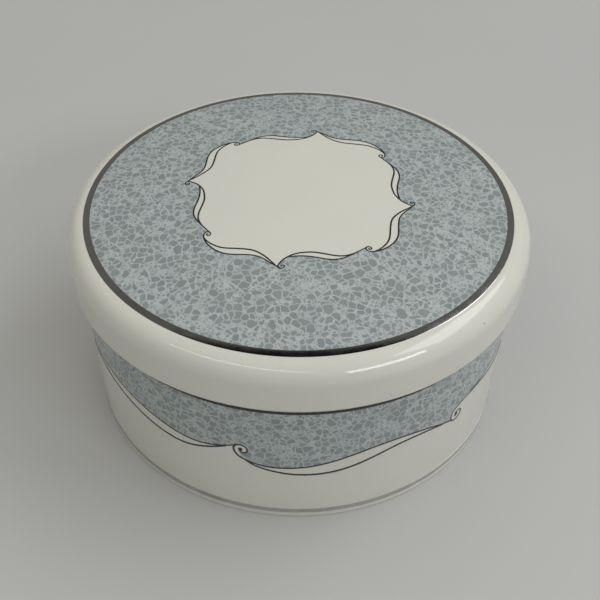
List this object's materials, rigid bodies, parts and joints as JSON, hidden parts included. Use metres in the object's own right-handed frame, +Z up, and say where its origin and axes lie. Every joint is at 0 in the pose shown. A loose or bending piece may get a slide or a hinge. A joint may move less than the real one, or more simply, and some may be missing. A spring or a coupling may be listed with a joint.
{
  "type": "porcelain trinket box",
  "caption": "Round drum-shaped porcelain trinket box with a slightly domed drop-on lid, mottled blue-grey print, scroll lines around a plain cartouche and platinum bands.",
  "frame": {"origin": "middle of the box on the plane that its foot ring rests on", "axes": "+Z up along the box's axis, -Y to the front of the ornament, +X to the right seen from the front"},
  "size_m": [0.1, 0.1, 0.0513],
  "materials": {
    "white_porcelain": "glossy glaze",
    "mottled_print": "glossy glaze over a mottled transfer print",
    "scroll_line": "satin fired line",
    "platinum": "burnished platinum"
  },
  "bodies": {
    "base": {"base": "white_porcelain", "base_print": "mottled_print", "base_scroll_lines": "scroll_line", "base_border_line": "scroll_line", "base_platinum_line": "platinum"},
    "lid": {"lid": "white_porcelain", "lid_print": "mottled_print", "lid_scroll_lines": "scroll_line", "lid_platinum_band": "platinum"}
  },
  "joints": [
    {"name": "lid_lift", "type": "slide", "parent": "base", "child": "lid", "axis": [0, 0, 1], "range_m": [0, 0.06]}
  ]
}
